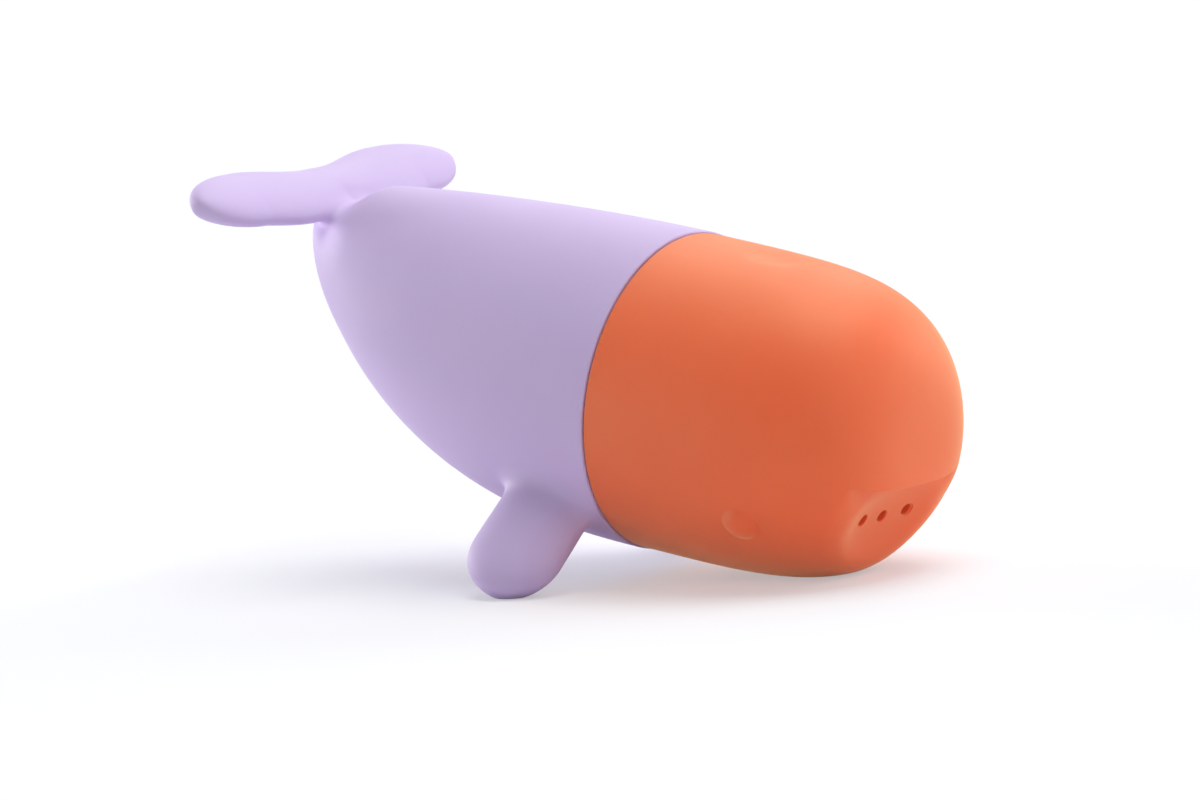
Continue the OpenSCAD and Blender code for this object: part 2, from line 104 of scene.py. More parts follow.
# Flukes
fluke_half_span = 35.1*MM
fluke_front = 4.8*MM
fluke_front_grow = 0.5*MM
fluke_front_swell = 1.7*MM
fluke_notch = 6.7*MM
fluke_lobe = 2.6*MM
fluke_back_taper = 0.7*MM
fluke_half_t = 2.8*MM
fluke_tilt = math.radians(22)
fluke_rise = 0.7*MM
fluke_setback = 1.8*MM
fluke_lift = 3.4*MM
fluke_notch_share = 0.04
fluke_full_share = 0.53
fluke_round_share = 0.62
fluke_tip_round = 0.44

# Flippers
flipper_root_half_w = 8.7*MM
flipper_tip_half_w = 9.2*MM
flipper_half_t = 4.8*MM
flipper_len = 15.6*MM
flipper_tip_len = 8.8*MM
flipper_drop = math.radians(43)
flipper_setback = 2*MM
flipper_bury = 4.3*MM
flipper_tip_round = 0.7

# Head
head_len = 51.3*MM
head_wall = 3*MM
nose_extra = 0.2*MM
nose_fall = 1.3*MM
head_top_curve = (5.4, 2.7)
head_chin_curve = (3.4, 3.1)
head_side_curve = (3.6, 3.1)
eye_r = 3.2*MM
# Higher than the solids' 1 mm, so that a smooth cap still shows as an eye
eye_h = 1.5*MM
eye_x = 30.6*MM
eye_drop = math.radians(31.5)
blowhole_r = 5*MM
blowhole_depth = 1*MM
blowhole_x = 19*MM

# Mouth
mouth_back = 7*MM
mouth_drop = 13*MM
mouth_tilt = math.radians(22)
lip_rise = 8.3*MM
mouth_face_r = 58*MM
mouth_face_middle = 6.5*MM
scoop_depth = 2.8*MM
scoop_half_w = 12.5*MM
scoop_half_h = 8.2*MM
scoop_middle = 0.4*MM
mouth_wall = 3*MM
spout_r = 1.15*MM
spout_pitch = 6.3*MM
spout_sag = 0.5*MM
spout_flare = 0.3*MM

# Squeaker
barrel_r = 8.5*MM
barrel_clearance = 0.05*MM
boss_wall = 2*MM
plenum_len = 3*MM
seat_len = 7*MM
barrel_len = 12*MM
barrel_wall = 1.5*MM
barrel_end = 1.2*MM
outlet_r = 2.4*MM
throat_r = 3.2*MM
throat_wall = 1.4*MM
throat_len = 9.05*MM
cap_t = 1.2*MM
cap_plug = 2*MM
cap_plug_wall = 1.1*MM
grille_r = 0.9*MM
grille_n = 6
grille_ring_share = 0.5
plenum_r = spout_pitch + spout_r + barrel_clearance
barrel_seat_r = barrel_r + barrel_clearance
barrel_bore_r = barrel_r - barrel_wall
cap_r = barrel_bore_r - barrel_clearance
moulded_round = 0.15*MM

# Fillets where soft forms run into each other
fluke_top_fillet = 3.6*MM
fluke_under_fillet = 1.8*MM
flipper_fillet = 3.6*MM
eye_fillet = 0.3*MM
blowhole_fillet = 1.6*MM
lip_fillet = 0.2*MM
lip_root_fillet = 0.3*MM
scoop_fillet = 1.4*MM
mouth_edge_fillet = 2.8*MM

# How far along each half the flukes, flippers and mouth are looked for, as a share of its length
fluke_zone = 0.6
flipper_zone = 0.5
mouth_zone = 0.5
# The lip's fillet widens to the mouth edge's over this share of the lip's rise
lip_run_out = 0.8
# Least share of the wide fillet that the flukes keep at their middle line
wide_fillet_floor = 0.2

# Fineness of the soft skins and of what is turned
tail_grain = 0.55*MM
head_grain = 0.42*MM
crisp_lip_room = 1.6*MM
crisp_eye_room = 1.6*MM
# Keeps the smooth skins inside the construction's flat facets
facet_inset = 0.04*MM
outline_points = 320
fin_points = 120
skin_stations = 120
fluke_stations = 80
flipper_tip_stations = 60
hollow_stations = 36
ring_turns = 192
seal_round_points = 24
mouth_face_turns = 400
spout_turns = 48
grille_turns = 32
crease_angle = math.radians(35)
# Least square of a blended normal's length, so that no point is thrown far where two skins meet
least_normal = 0.2
# Cutters run on past what they cut, and points nearer than this are one
OVERRUN = 1*MM
NEAR = 0.001*MM

# The whale's own frame: forward along the neck's axis, left, and up
neck_turn = next(j for j in frame["joints"] if j["name"] == "head_turn")
forward = Vector(neck_turn["axis"]).normalized()
left = Vector((0, 1, 0))
up = forward.cross(left)
WHALE = Matrix.Translation(neck_turn["pos_m"]) @ Matrix((forward, left, up)).transposed().to_4x4()

# The mouth's frame: outwards through the middle spout is Z, and X runs down along the flat
MOUTH = Matrix.Translation((head_len - mouth_back, 0, -mouth_drop)) @ Matrix.Rotation(
    math.pi/2 + mouth_tilt, 4, "Y"
)
# The squeaker's frame: zero at the barrel's outlet end, Z into the head
SQUEAKER = MOUTH @ Matrix.Translation((0, 0, -mouth_wall - plenum_len)) @ Matrix.Rotation(math.pi, 4, "X")


def bulge(t, curve):
    """Superellipse share at t along an axis, with a curve of two exponents"""
    return max(0, 1 - t**curve[0])**(1/curve[1])


def gathered(n):
    """Steps from 0 to 1 that gather towards a rounded end"""
    return [math.sin(math.pi/2*i/n) for i in range(n + 1)]


def rolled(stations, outline, around=outline_points):
    """A closed skin: a flat grid rolled up so that its columns lie at the stations of an outline"""
    bm = bmesh.new()
    last = len(stations) - 1
    bmesh.ops.create_grid(bm, x_segments=last, y_segments=around, size=0.5)
    for v in bm.verts:
        v.co = outline(stations[round((v.co.x + 0.5)*last)], math.tau*(v.co.y + 0.5))
    bmesh.ops.remove_doubles(bm, verts=bm.verts, dist=NEAR)
    bmesh.ops.recalc_face_normals(bm, faces=bm.faces)
    return bm


def capped(place):
    """An outline for rolled, where a station marked 0 closes the flat end on the neck's axis"""
    def outline(at, angle):
        x, share, open_end = at
        return place(x, share, angle) if open_end else Vector((x, 0, 0))
    return outline


def turned(profile, turns=96):
    """A solid turned about Z from points of (radius, height)"""
    bm = bmesh.new()
    corners = [bm.verts.new((r, 0, z)) for r, z in profile]
    edges = [bm.edges.new(pair) for pair in zip(corners, corners[1:] + corners[:1])]
    bmesh.ops.spin(
        bm, geom=corners + edges, cent=(0, 0, 0), axis=(0, 0, 1), angle=math.tau, steps=turns,
        use_merge=True
    )
    bmesh.ops.remove_doubles(bm, verts=bm.verts, dist=NEAR)
    bmesh.ops.recalc_face_normals(bm, faces=bm.faces)
    return bm


def made(name, bm):
    """The object for a finished bmesh"""
    mesh = bpy.data.meshes.new(name)
    bm.to_mesh(mesh)
    bm.free()
    piece = bpy.data.objects.new(name, mesh)
    bpy.context.scene.collection.objects.link(piece)
    return piece


def added(bm, part, name):
    """Puts the shape of one bmesh into another as well, and gives back its mesh"""
    mesh = bpy.data.meshes.new(name)
    part.to_mesh(mesh)
    bm.from_mesh(mesh)
    return mesh


def settled_mesh(piece):
    """The mesh that a piece's modifiers give"""
    graph = bpy.context.evaluated_depsgraph_get()
    return bpy.data.meshes.new_from_object(piece.evaluated_get(graph), depsgraph=graph)


def apply_all(piece):
    mesh = settled_mesh(piece)
    piece.modifiers.clear()
    piece.data = mesh


def scrapped(piece):
    bpy.data.objects.remove(piece)


def carved(piece, cutters):
    """Takes each cutter out of a piece, and throws the cutters away"""
    for cutter in cutters:
        cut = piece.modifiers.new("cut", "BOOLEAN")
        cut.operation = "DIFFERENCE"
        cut.solver = "MANIFOLD"
        cut.object = cutter
    apply_all(piece)
    for cutter in cutters:
        scrapped(cutter)


def remeshed(piece, grain):
    """One even skin round all the shapes in a piece, as a bmesh"""
    even = piece.modifiers.new("even", "REMESH")
    even.mode = "VOXEL"
    even.voxel_size = grain
    bm = bmesh.new()
    bm.from_mesh(settled_mesh(piece))
    scrapped(piece)
    return bm


# Skins as distances: how far outside a place lies, and which way is out

def outside(tree, place, half_t=math.inf):
    """A place's distance from a closed skin. Nothing lies deeper in a thin form than half its thickness"""
    spot, normal, _, far = tree.find_nearest(place)
    within = (place - spot).dot(normal) <= 0 and far <= half_t
    return (-far if within else far), normal


def outside_ellipsoid(place, radii):
    """The same for an ellipsoid about zero"""
    scaled = Vector(p/r for p, r in zip(place, radii))
    steep = Vector(s/r for s, r in zip(scaled, radii))
    return scaled.length*(scaled.length - 1)/steep.length, steep.normalized()


def joined(a, b, fillet):
    """Two skins at one place run into each other with a fillet"""
    share = min(1, max(0, 0.5 + 0.5*(b[0] - a[0])/fillet))
    return b[0] + (a[0] - b[0])*share - fillet*share*(1 - share), b[1].lerp(a[1], share)


def inverse(a):
    return -a[0], -a[1]


def cut_back(a, b, fillet):
    """What skin b takes out of skin a, with the edge rounded"""
    return inverse(joined(inverse(a), b, fillet))


def pulled_onto(bm, skin, rounds):
    """Moves every point of a mesh onto a skin, straight in or out"""
    for _ in range(rounds):
        for v in bm.verts:
            far, way = skin(v.co)
            v.co -= way*((far + facet_inset)/max(way.length_squared, least_normal))


def evened(bm, skin, rounds=4):
    """Lets the points of a mesh slide along its skin until they lie evenly"""
    pulled_onto(bm, skin, 2)
    for _ in range(rounds):
        bmesh.ops.smooth_vert(
            bm, verts=bm.verts, factor=0.5, use_axis_x=True, use_axis_y=True, use_axis_z=True
        )
        pulled_onto(bm, skin, 1)
    pulled_onto(bm, skin, 1)


def refined(bm, crisp):
    """Halves the faces of a mesh where a skin turns sharply"""
    chosen = {v for v in bm.verts if crisp(v.co)}
    edges = [e for e in bm.edges if e.verts[0] in chosen and e.verts[1] in chosen]
    bmesh.ops.subdivide_edges(bm, edges=edges, cuts=1, use_grid_fill=True)


# Rims: an open skin is carried on round its rim and into its hollow

def carried_on(bm, edges, place):
    """Extrudes an open rim, puts its new points in place and gives back the new rim"""
    grown = bmesh.ops.extrude_edge_only(bm, edges=edges)["geom"]
    points = [g for g in grown if isinstance(g, bmesh.types.BMVert)]
    for v in points:
        v.co = place(v)
    new = set(points)
    return [e for e in {e for v in points for e in v.link_edges} if e.verts[0] in new and e.verts[1] in new]


def trimmed(bm, x, side):
    """Cuts a skin square to the neck's axis at x, drops what lies past it and gives back the rim"""
    bmesh.ops.bisect_plane(
        bm, geom=bm.verts[:] + bm.edges[:] + bm.faces[:], dist=NEAR,
        plane_co=(x, 0, 0), plane_no=(side, 0, 0), clear_outer=True
    )
    rim_points = {v for e in bm.edges if e.is_boundary for v in e.verts}
    bmesh.ops.remove_doubles(bm, verts=list(rim_points), dist=0.1*MM)
    return [e for e in bm.edges if e.is_boundary]


def on_circle(x, r):
    """A place on a circle about the neck's axis, at the angle where a point already lies"""
    def place(v):
        scale = r/math.hypot(v.co.y, v.co.z)
        return Vector((x, v.co.y*scale, v.co.z*scale))
    return place


def rolled_rim(bm, rim, side):
    """Rounds a rim over towards the seam, and ends it square to the neck's axis"""
    steps = 4
    for i in range(steps):
        a, b = (math.pi/2*j/steps for j in (i, i + 1))
        inwards = rim_round*(math.cos(a) - math.cos(b))
        onwards = side*rim_round*(math.sin(b) - math.sin(a))
        rim = carried_on(
            bm, rim, lambda v: on_circle(v.co.x + onwards, math.hypot(v.co.y, v.co.z) - inwards)(v)
        )
    return rim


# Tail half

def tail_sizes(s, inset=0):
    """Half width, height of the back and of the belly at s of the tail's length"""
    r = neck_r - inset
    dip = min(1, max(0, (s - back_dip_from)/(back_dip_to - back_dip_from)))
    top = r - back_fall*s*s - back_dip*dip*dip*(3 - 2*dip)
    back = tail_end_z + (top - tail_end_z)*bulge(s, back_end_curve)
    belly = tail_end_z - (r + tail_end_z)*bulge(s, belly_curve)
    return r*bulge(s, side_curve), back, belly


def tail_place(x, s, angle, inset=0):
    side, back, belly = tail_sizes(s, inset)
    return Vector((x, side*math.cos(angle), (back + belly)/2 + (back - belly)/2*math.sin(angle)))


def tail_skin():
    start = 3*OVERRUN
    stations = [(start, 0, 0), (start, 0, 1)] + [
        (-rim_back - s*(tail_len - rim_back), s, 1) for s in gathered(skin_stations)
    ]
    return rolled(stations, capped(tail_place))


fluke_chord = Vector((math.cos(fluke_tilt), 0, -math.sin(fluke_tilt)))
fluke_over = Vector((math.sin(fluke_tilt), 0, math.cos(fluke_tilt)))
fluke_spine = Vector((fluke_setback - tail_len, 0, tail_end_z + fluke_lift))


def fluke_place(u, angle):
    v = abs(u)
    past = max(0, (v - fluke_round_share)/(1 - fluke_round_share))
    round_share = math.sqrt(max(0, 1 - past*past))
    along = v/fluke_round_share
    front = fluke_front + fluke_front_grow*along + fluke_front_swell*math.sin(math.pi*min(1, along))
    lobe_share = (v - fluke_notch_share)/(fluke_full_share - fluke_notch_share)
    tip_share = max(0, (v - fluke_full_share)/(1 - fluke_full_share))
    lobe = fluke_lobe*math.sin(math.pi/2*min(1, max(0, lobe_share)))**2
    back = fluke_notch + lobe - fluke_back_taper*tip_share
    half_chord = round_share*(front + back)/2
    half_t = fluke_half_t*round_share**fluke_tip_round
    middle = fluke_spine + fluke_chord*(front - back)/2 + Vector((0, u*fluke_half_span, fluke_rise*v*v))
    return middle + fluke_chord*half_chord*math.cos(angle) + fluke_over*half_t*math.sin(angle)


def flukes():
    tips = gathered(fluke_stations)
    return rolled([-t for t in reversed(tips[1:])] + tips, fluke_place, fin_points)


def flipper_place(at, angle):
    d, half_w, half_t = at
    out = Vector((0, math.cos(flipper_drop), -math.sin(flipper_drop)))
    root_r = neck_r - flipper_bury
    root = out*root_r - Vector((flipper_setback + max(flipper_root_half_w, flipper_tip_half_w), 0, 0))
    across = out.cross(Vector((1, 0, 0)))
    return root + out*d + Vector((half_w*math.cos(angle), 0, 0)) + across*half_t*math.sin(angle)


def flipper():
    grow = flipper_tip_half_w - flipper_root_half_w
    straight = [
        (k*flipper_len, flipper_root_half_w + grow*math.sin(math.pi/2*k), flipper_half_t)
        for k in (i/40 for i in range(41))
    ]
    tip = [
        (flipper_len + t*flipper_tip_len, flipper_tip_half_w*k, flipper_half_t*k**flipper_tip_round)
        for t, k in ((t, math.sqrt(max(0, 1 - t*t))) for t in gathered(flipper_tip_stations)[1:])
    ]
    return rolled([(0, 0, 0)] + straight + tip, flipper_place, fin_points)


def fluke_fillet(place):
    """Wide where the back runs up onto the flukes, and narrow below and behind them"""
    over = (place - fluke_spine).dot(fluke_over)/fluke_half_t
    ahead = (place - fluke_spine).dot(fluke_chord)/fluke_front
    wide_above = min(1, max(0, 0.5 + 0.5*over))
    wide_ahead = min(1, max(0, wide_fillet_floor + (1 - wide_fillet_floor)*ahead))
    wide_share = wide_above*wide_ahead
    return fluke_under_fillet + (fluke_top_fillet - fluke_under_fillet)*wide_share


def tail_shell():
    body, fins, left_flipper = tail_skin(), flukes(), flipper()
    body_tree, fluke_tree, flipper_tree = (BVHTree.FromBMesh(bm) for bm in (body, fins, left_flipper))

    def skin(place):
        mirrored = place.y < 0
        near = Vector((place.x, abs(place.y), place.z))
        here = outside(body_tree, near)
        if near.x < -fluke_zone*tail_len:
            here = joined(here, outside(fluke_tree, near, fluke_half_t), fluke_fillet(near))
        elif near.x > -flipper_zone*tail_len and near.z < 0:
            here = joined(here, outside(flipper_tree, near, flipper_half_t), flipper_fillet)
        if mirrored:
            here[1].y *= -1
        return here

    added(body, fins, "fluke_form")
    right_flipper = added(body, left_flipper, "flipper_form")
    right_flipper.transform(Matrix.Scale(-1, 4, (0, 1, 0)))
    right_flipper.flip_normals()
    body.from_mesh(right_flipper)
    bm = remeshed(made("tail_form", body), tail_grain)
    evened(bm, skin)

    rim = trimmed(bm, -rim_back, 1)
    rim = rolled_rim(bm, rim, 1)
    seat_r = socket_outer_r + bond_gap
    seat_back = socket_len + 2*face_gap
    rim = carried_on(bm, rim, on_circle(-seam_gap/2, seat_r))
    turn = bm.verts.layers.float.new("turn")
    for v in {v for e in rim for v in e.verts}:
        v[turn] = math.atan2(v.co.z, v.co.y)
    rim = carried_on(bm, rim, on_circle(-seat_back, seat_r))
    hollow_len = tail_len - tail_end_walls*tail_wall
    first = seat_back/hollow_len
    for s in gathered(hollow_stations):
        at = first + (1 - first)*s
        rim = carried_on(bm, rim, lambda v: tail_place(-at*hollow_len, at, v[turn], tail_wall))
    bmesh.ops.remove_doubles(bm, verts=list({v for e in rim for v in e.verts}), dist=0.01*MM)
    return finished_skin("soft_tail_half", bm)


def finished_skin(name, bm):
    """Puts a soft half in its place, flattens it where it rests and shades it smooth"""
    bm.transform(WHALE)
    for v in bm.verts:
        v.co.z = max(v.co.z, 0)
    bmesh.ops.recalc_face_normals(bm, faces=bm.faces)
    return shaded(made(name, bm))


def shaded(piece):
    for face in piece.data.polygons:
        face.use_smooth = True
    piece.data.set_sharp_from_angle(angle=crease_angle)
    return piece


# Head half

def head_place(x, t, angle):
    up_down = head_top_curve if math.sin(angle) > 0 else head_chin_curve
    return Vector((
        x,
        head_r*bulge(t, head_side_curve)*math.cos(angle),
        head_r*bulge(t, up_down)*math.sin(angle) - nose_fall*t*t
    ))


def head_skin():
    start = -3*OVERRUN
    stations = [(start, 0, 0), (start, 0, 1)] + [
        (rim_back + t*(head_len - rim_back), t, 1) for t in gathered(skin_stations)
    ]
    return rolled(stations, capped(head_place))


def frame_on_head(tree, x, angle):
    """A frame that sits on the head's skin, with Z straight out"""
    aim = head_place(x, x/head_len, angle)
    spot, normal, _, _ = tree.find_nearest(aim)
    return Matrix.Translation(spot) @ normal.to_track_quat("Z", "Y").to_matrix().to_4x4()


def box_from(low, high):
    bm = bmesh.new()
    bmesh.ops.create_cube(bm, size=1)
    size = Vector(high) - Vector(low)
    for v in bm.verts:
        v.co = Vector(low) + Vector((v.co[i] + 0.5)*size[i] for i in range(3))
    return bm


def ellipsoid(radii):
    bm = bmesh.new()
    bmesh.ops.create_uvsphere(bm, u_segments=64, v_segments=48, radius=1)
    bmesh.ops.scale(bm, vec=radii, verts=bm.verts)
    return bm


def placed(name, bm, place):
    bm.transform(place)
    return made(name, bm)


def head_hollow():
    """What the head holds: its hollow, less the mouth's wall and the boss round the squeaker"""
    cavity_r = head_r - head_wall
    cavity_len = head_len - head_wall - nose_extra
    step = flange_len + face_gap
    profile = [(0, -OVERRUN), (flange_seat_r, -OVERRUN), (flange_seat_r, step)]
    profile += [
        (cavity_r*bulge(t, head_side_curve), t*cavity_len)
        for t in (step/cavity_len + (1 - step/cavity_len)*s for s in gathered(40))
    ]
    bm = turned(profile)
    bm.transform(Matrix.Rotation(math.pi/2, 4, "Y"))
    bmesh.ops.bisect_plane(
        bm, geom=bm.verts[:] + bm.edges[:] + bm.faces[:], dist=NEAR,
        plane_co=MOUTH @ Vector((0, 0, -mouth_wall)), plane_no=MOUTH.to_3x3() @ Vector((0, 0, 1)),
        clear_outer=True
    )
    bmesh.ops.holes_fill(bm, edges=[e for e in bm.edges if e.is_boundary])
    hollow = made("head_hollow", bm)
    boss = turned([(0, -plenum_len - OVERRUN), (barrel_seat_r + boss_wall, -plenum_len - OVERRUN),
                   (barrel_seat_r + boss_wall, seat_len), (0, seat_len)])
    carved(hollow, [placed("boss", boss, SQUEAKER)])
    return hollow


def squeaker_seat():
    return placed("squeaker_seat", turned([
        (0, -plenum_len), (plenum_r, -plenum_len), (plenum_r, 0), (barrel_seat_r, 0),
        (barrel_seat_r, seat_len + OVERRUN), (0, seat_len + OVERRUN)
    ]), SQUEAKER)


def spout(y, sag):
    """The cutter for one spout hole, flared where it meets the scoop"""
    level = scoop_depth*(1 - math.sqrt(1 - (y/scoop_half_w)**2 - ((sag - scoop_middle)/scoop_half_h)**2))
    flare = [
        (spout_r + spout_flare*(1 - math.cos(a)), level - spout_flare*(1 - math.sin(a)))
        for a in (math.pi/2*i/6 for i in range(7))
    ]
    wide = spout_r + spout_flare
    profile = [(0, -mouth_wall - OVERRUN), (spout_r, -mouth_wall - OVERRUN)] + flare + [
        (wide, level + OVERRUN), (0, level + OVERRUN)
    ]
    return placed("spout", turned(profile, spout_turns), MOUTH @ Matrix.Translation((sag, y, 0)))


def head_shell():
    body = head_skin()
    tree = BVHTree.FromBMesh(body)
    eyes = [frame_on_head(tree, eye_x, angle) for angle in (-eye_drop, math.pi + eye_drop)]
    to_eyes = [eye.inverted() for eye in eyes]
    eyeball_r = (eye_r**2 + eye_h**2)/(2*eye_h)
    eyeballs = [eye @ Vector((0, 0, eye_h - eyeball_r)) for eye in eyes]
    dimple_r = (blowhole_r**2 + blowhole_depth**2)/(2*blowhole_depth)
    dimple = frame_on_head(tree, blowhole_x, math.pi/2) @ Vector((0, 0, dimple_r - blowhole_depth))
    to_mouth = MOUTH.inverted()
    mouth_turn = MOUTH.to_3x3()
    down_mouth = mouth_turn @ Vector((1, 0, 0))
    bowl_radii = (scoop_half_h, scoop_half_w, scoop_depth)

    def mouth(place):
        """Skin of what the mouth takes away"""
        at = to_mouth @ place
        far, way = outside_ellipsoid(at - Vector((scoop_middle, 0, scoop_depth)), bowl_radii)
        bowl = far, mouth_turn @ way
        from_face = Vector((at.x - mouth_face_middle, 0, at.z - scoop_depth + mouth_face_r))
        face = mouth_face_r - from_face.length, mouth_turn @ -from_face.normalized()
        room = joined(face, bowl, scoop_fillet)
        room = inverse(joined(inverse(room), (lip_rise + at.x, down_mouth), lip_root_fillet))
        below_lip = min(1, max(0, (at.x + lip_rise)/(lip_run_out*lip_rise)))
        return room, lip_fillet + (mouth_edge_fillet - lip_fillet)*below_lip

    def skin(place):
        here = outside(tree, place)
        for eyeball in eyeballs:
            at = place - eyeball
            if at.length < 2*eyeball_r:
                here = joined(here, (at.length - eyeball_r, at.normalized()), eye_fillet)
        from_dimple = place - dimple
        if from_dimple.length < dimple_r + 2*blowhole_r:
            hole = from_dimple.length - dimple_r, from_dimple.normalized()
            here = cut_back(here, hole, blowhole_fillet)
        if place.x > mouth_zone*head_len:
            room, edge = mouth(place)
            here = cut_back(here, room, edge)
        return here

    def crisp(place):
        """Where the eyes' edges and the lip lie"""
        if any(abs(math.hypot(*(to_eye @ place).xy) - eye_r) < crisp_eye_room for to_eye in to_eyes):
            return min((place - eye.translation).length for eye in eyes) < 2*eye_r
        at = to_mouth @ place
        return place.x > mouth_zone*head_len and abs(at.x + lip_rise) < crisp_lip_room

    for eyeball in eyeballs:
        bump = ellipsoid((eyeball_r, eyeball_r, eyeball_r))
        bump.transform(Matrix.Translation(eyeball))
        added(body, bump, "eye_form")
        bump.free()
    form = made("head_form", body)
    beyond = 2*head_len
    room = box_from((-lip_rise, -beyond, -mouth_wall), (beyond, beyond, beyond))
    mouth_box = placed("mouth_box", room, MOUTH)
    corners = [(0, -beyond), (mouth_face_r, -beyond), (mouth_face_r, beyond), (0, beyond)]
    face_place = Matrix.Translation((mouth_face_middle, 0, scoop_depth - mouth_face_r))
    lying = face_place @ Matrix.Rotation(math.pi/2, 4, "X")
    carved(mouth_box, [placed("mouth_face", turned(corners, mouth_face_turns), MOUTH @ lying)])
    bowl_place = MOUTH @ Matrix.Translation((scoop_middle, 0, scoop_depth))
    carved(form, [mouth_box, placed("mouth_bowl", ellipsoid(bowl_radii), bowl_place)])
    bm = remeshed(form, head_grain)
    refined(bm, crisp)
    evened(bm, skin)

    rim = trimmed(bm, rim_back, -1)
    rim = rolled_rim(bm, rim, -1)
    bmesh.ops.edgeloop_fill(bm, edges=rim)
    bmesh.ops.recalc_face_normals(bm, faces=bm.faces)
    head = made("soft_head_half", bm)
    carved(head, [head_hollow(), squeaker_seat()] + [
        spout(side*spout_pitch, 0 if side else spout_sag) for side in (-1, 0, 1)
    ])
    bm = bmesh.new()
    bm.from_mesh(head.data)
    scrapped(head)
    return finished_skin("soft_head_half", bm)


# Rigid pieces: turned and moulded, with every sharp edge broken

ALONG_NECK = WHALE @ Matrix.Rotation(math.pi/2, 4, "Y")


def moulded(name, bm, place):
    sharp = [e for e in bm.edges if e.is_manifold and e.calc_face_angle(0) > crease_angle]
    bmesh.ops.bevel(
        bm, geom=sharp, offset=moulded_round, offset_type="OFFSET", affect="EDGES", segments=2, profile=0.5,
        material=-1
    )
    bm.transform(place)
    return shaded(made(name, bm))


def socket_ring():
    back = -socket_len - face_gap
    return moulded("socket_collar", turned([
        (socket_r, back), (socket_r, -lead_in - face_gap), (socket_r + lead_in, -face_gap),
        (socket_outer_r, -face_gap), (socket_outer_r, back)
    ], ring_turns), ALONG_NECK)


def spigot_ring():
    half_groove = seal_w/2 + seal_slack
    return moulded("spigot_collar", turned([
        (spigot_bore_r, flange_len), (spigot_bore_r, -spigot_len), (spigot_r - spigot_bevel, -spigot_len),
        (spigot_r, spigot_bevel - spigot_len), (spigot_r, -groove_back - half_groove),
        (groove_r, -groove_back - half_groove), (groove_r, half_groove - groove_back),
        (spigot_r, half_groove - groove_back), (spigot_r, 0), (flange_r, 0), (flange_r, flange_len)
    ], ring_turns), ALONG_NECK)


def neck_seal():
    inner_r, outer_r = groove_r + seal_clearance, socket_r - seal_clearance
    round_r = (outer_r - inner_r)/2
    half_flat = seal_w/2 - round_r
    profile = []
    for i in range(seal_round_points):
        a = math.tau*(i + 0.5)/seal_round_points
        along = math.copysign(half_flat, math.sin(a)) + round_r*math.sin(a) - groove_back
        profile.append((inner_r + round_r*(1 + math.cos(a)), along))
    bm = turned(profile, ring_turns)
    bm.transform(ALONG_NECK)
    return shaded(made("rubber_ring", bm))


def squeaker_barrel():
    throat_top = barrel_end + throat_len
    throat_outer_r = throat_r + throat_wall
    return moulded("squeaker_cup", turned([
        (outlet_r, 0), (barrel_r, 0), (barrel_r, barrel_len), (barrel_bore_r, barrel_len),
        (barrel_bore_r, barrel_end), (throat_outer_r, barrel_end), (throat_outer_r, throat_top),
        (throat_r, throat_top), (throat_r, barrel_end), (outlet_r, barrel_end)
    ]), WHALE @ SQUEAKER)


def squeaker_cap():
    under = cap_r - cap_plug_wall
    cap = made("cap_blank", turned([
        (0, barrel_len), (under, barrel_len), (under, barrel_len - cap_plug),
        (cap_r, barrel_len - cap_plug), (cap_r, barrel_len), (barrel_r, barrel_len),
        (barrel_r, barrel_len + cap_t), (0, barrel_len + cap_t)
    ]))
    hole = [(0, -OVERRUN), (grille_r, -OVERRUN), (grille_r, cap_t + OVERRUN), (0, cap_t + OVERRUN)]
    carved(cap, [
        placed("grille_hole", turned(hole, grille_turns), Matrix.Rotation(math.tau*i/grille_n, 4, "Z")
               @ Matrix.Translation((grille_ring_share*barrel_r, 0, barrel_len)))
        for i in range(grille_n)
    ])
    bm = bmesh.new()
    bm.from_mesh(cap.data)
    scrapped(cap)
    return moulded("squeaker_grille", bm, WHALE @ SQUEAKER)


# Materials

def group_value(tree, name, kind, inward, start=None):
    socket = tree.interface.new_socket(name, in_out="INPUT" if inward else "OUTPUT", socket_type=kind)
    if start is not None:
        socket.default_value = start
    return socket


def link(tree, from_node, from_name, to_node, to_name):
    tree.links.new(from_node.outputs[from_name], to_node.inputs[to_name])


